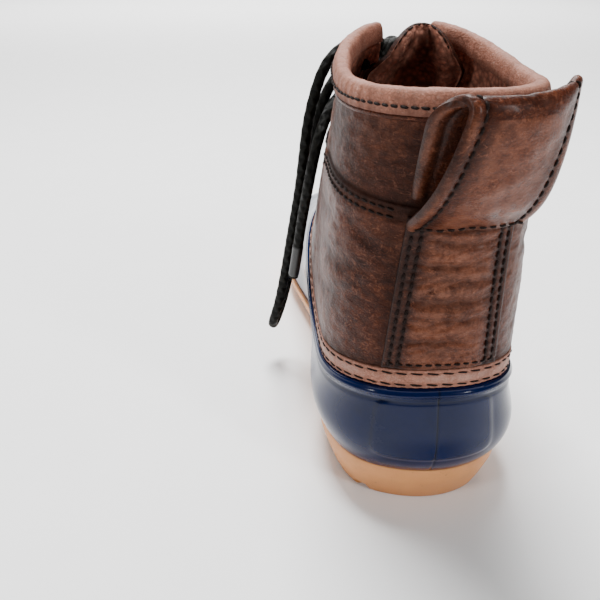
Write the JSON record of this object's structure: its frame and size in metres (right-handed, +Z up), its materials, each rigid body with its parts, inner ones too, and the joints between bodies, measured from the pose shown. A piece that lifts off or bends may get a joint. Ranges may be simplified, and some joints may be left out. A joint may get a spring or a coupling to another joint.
{
  "type": "duck boot",
  "caption": "Right-foot lace-up duck boot: gum sole, glossy navy rubber shell, brown leather shaft, padded tan collar, wide rear pull loop and a bow of round black lace.",
  "frame": {"origin": "on the floor under the middle of the boot's box, measured without the bow and the lace's ends", "axes": "+Y towards the toe, +X towards the lateral side of the right foot, +Z up"},
  "size_m": [0.1123, 0.2936, 0.1822],
  "materials": {
    "gum_rubber": "matte",
    "navy_rubber": "glossy",
    "tan_leather": "satin",
    "brown_leather": "burnished",
    "brown_fleece": "fleece",
    "black_cord": "waxed",
    "aged_brass": "aged"
  },
  "bodies": {
    "root": {"outsole": "gum_rubber", "shell": "navy_rubber", "shell_band": "tan_leather", "shaft": "brown_leather", "collar_roll": "tan_leather", "heel_strip": "brown_leather", "pull_loop": "brown_leather", "tongue": "brown_leather", "insole": "brown_fleece", "eyelet_medial_1": "aged_brass", "eyelet_medial_2": "aged_brass", "eyelet_medial_3": "aged_brass", "eyelet_medial_4": "aged_brass", "eyelet_medial_5": "aged_brass", "eyelet_lateral_1": "aged_brass", "eyelet_lateral_2": "aged_brass", "eyelet_lateral_3": "aged_brass", "eyelet_lateral_4": "aged_brass", "eyelet_lateral_5": "aged_brass", "lace_crossings": "black_cord", "lace_knot": "black_cord", "lace_loop_medial": "black_cord", "lace_loop_lateral": "black_cord", "lace_end_medial": "black_cord", "lace_end_lateral": "black_cord"}
  },
  "joints": []
}
